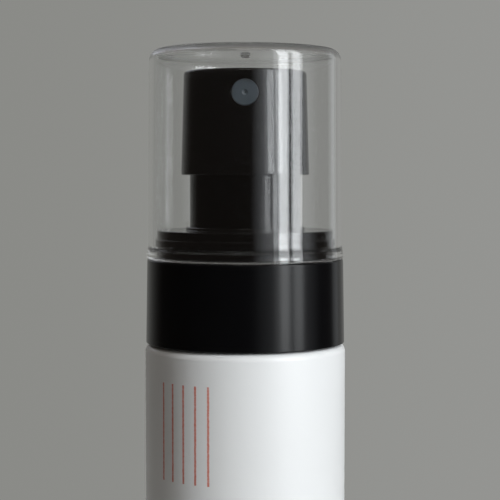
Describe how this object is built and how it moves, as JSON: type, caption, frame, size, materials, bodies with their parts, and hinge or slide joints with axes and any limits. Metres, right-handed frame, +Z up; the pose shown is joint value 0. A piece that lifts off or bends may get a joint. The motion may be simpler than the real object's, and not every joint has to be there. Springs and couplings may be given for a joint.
{
  "type": "fine mist pump bottle",
  "caption": "Fine-mist finger pump on a round white bottle: black button with swirl nozzle, sprung piston pump, dip tube, screw collar and a clear lift-off overcap.",
  "frame": {"origin": "centre of the bottle's base ring, on the floor", "axes": "+Z up along the bottle's axis, the nozzle faces -Y, +X to the right as seen from the front"},
  "size_m": [0.038, 0.038, 0.1655],
  "materials": {
    "bottle_white": "satin white moulded plastic",
    "pump_black": "smooth black moulded plastic",
    "nozzle_grey": "smooth blue-grey moulded plastic",
    "cap_clear": "clear polished plastic",
    "pump_natural": "natural uncoloured plastic",
    "piston_natural": "soft natural plastic",
    "tube_natural": "translucent extruded tube",
    "seal_rubber": "black rubber",
    "gasket_foam": "white foamed sheet",
    "spring_steel": "drawn steel wire",
    "ball_steel": "polished steel ball"
  },
  "bodies": {
    "bottle": {"bottle": "bottle_white"},
    "pump": {"pump_housing": "pump_natural", "stem_retainer": "pump_natural", "stem_seal": "seal_rubber", "neck_gasket": "gasket_foam", "dip_tube": "tube_natural", "return_spring": "spring_steel"},
    "collar": {"threaded_closure": "pump_black", "collar_shell": "pump_black"},
    "overcap": {"overcap": "cap_clear"},
    "piston": {"piston": "piston_natural"},
    "button": {"actuator": "pump_black", "nozzle_insert": "nozzle_grey", "stem": "pump_natural"},
    "outlet_valve": {"outlet_valve": "pump_natural"},
    "inlet_ball": {"inlet_ball": "ball_steel"}
  },
  "joints": [
    {"name": "pump_rise", "type": "slide", "parent": "bottle", "child": "pump", "axis": [0, 0, 1], "range_m": [0, 0.00476]},
    {"name": "collar_turn", "type": "hinge", "parent": "pump", "child": "collar", "pos_m": [0, 0, 0.12], "axis": [0, 0, 1], "range_deg": [0, 540]},
    {"name": "overcap_lift", "type": "slide", "parent": "collar", "child": "overcap", "axis": [0, 0, 1], "range_m": [0, 0.045]},
    {"name": "button_press", "type": "slide", "parent": "pump", "child": "piston", "axis": [0, 0, -1], "range_m": [0, 0.007], "stiffness_N_per_m": 1200, "springref_m": -0.0006, "deforming": ["return_spring"]},
    {"name": "button_turn", "type": "hinge", "parent": "piston", "child": "button", "pos_m": [0, 0, 0.15], "axis": [0, 0, 1], "continuous": true},
    {"name": "outlet_open", "type": "slide", "parent": "piston", "child": "outlet_valve", "axis": [0, 0, -1], "range_m": [0, 0.0008], "stiffness_N_per_m": 300, "springref_m": -0.0002},
    {"name": "inlet_open", "type": "slide", "parent": "pump", "child": "inlet_ball", "axis": [0, 0, 1], "range_m": [0, 0.0009]}
  ],
  "couplings": [
    {"joint": "collar_turn", "follows": "pump_rise", "rad_per_m": 1978.9}
  ]
}
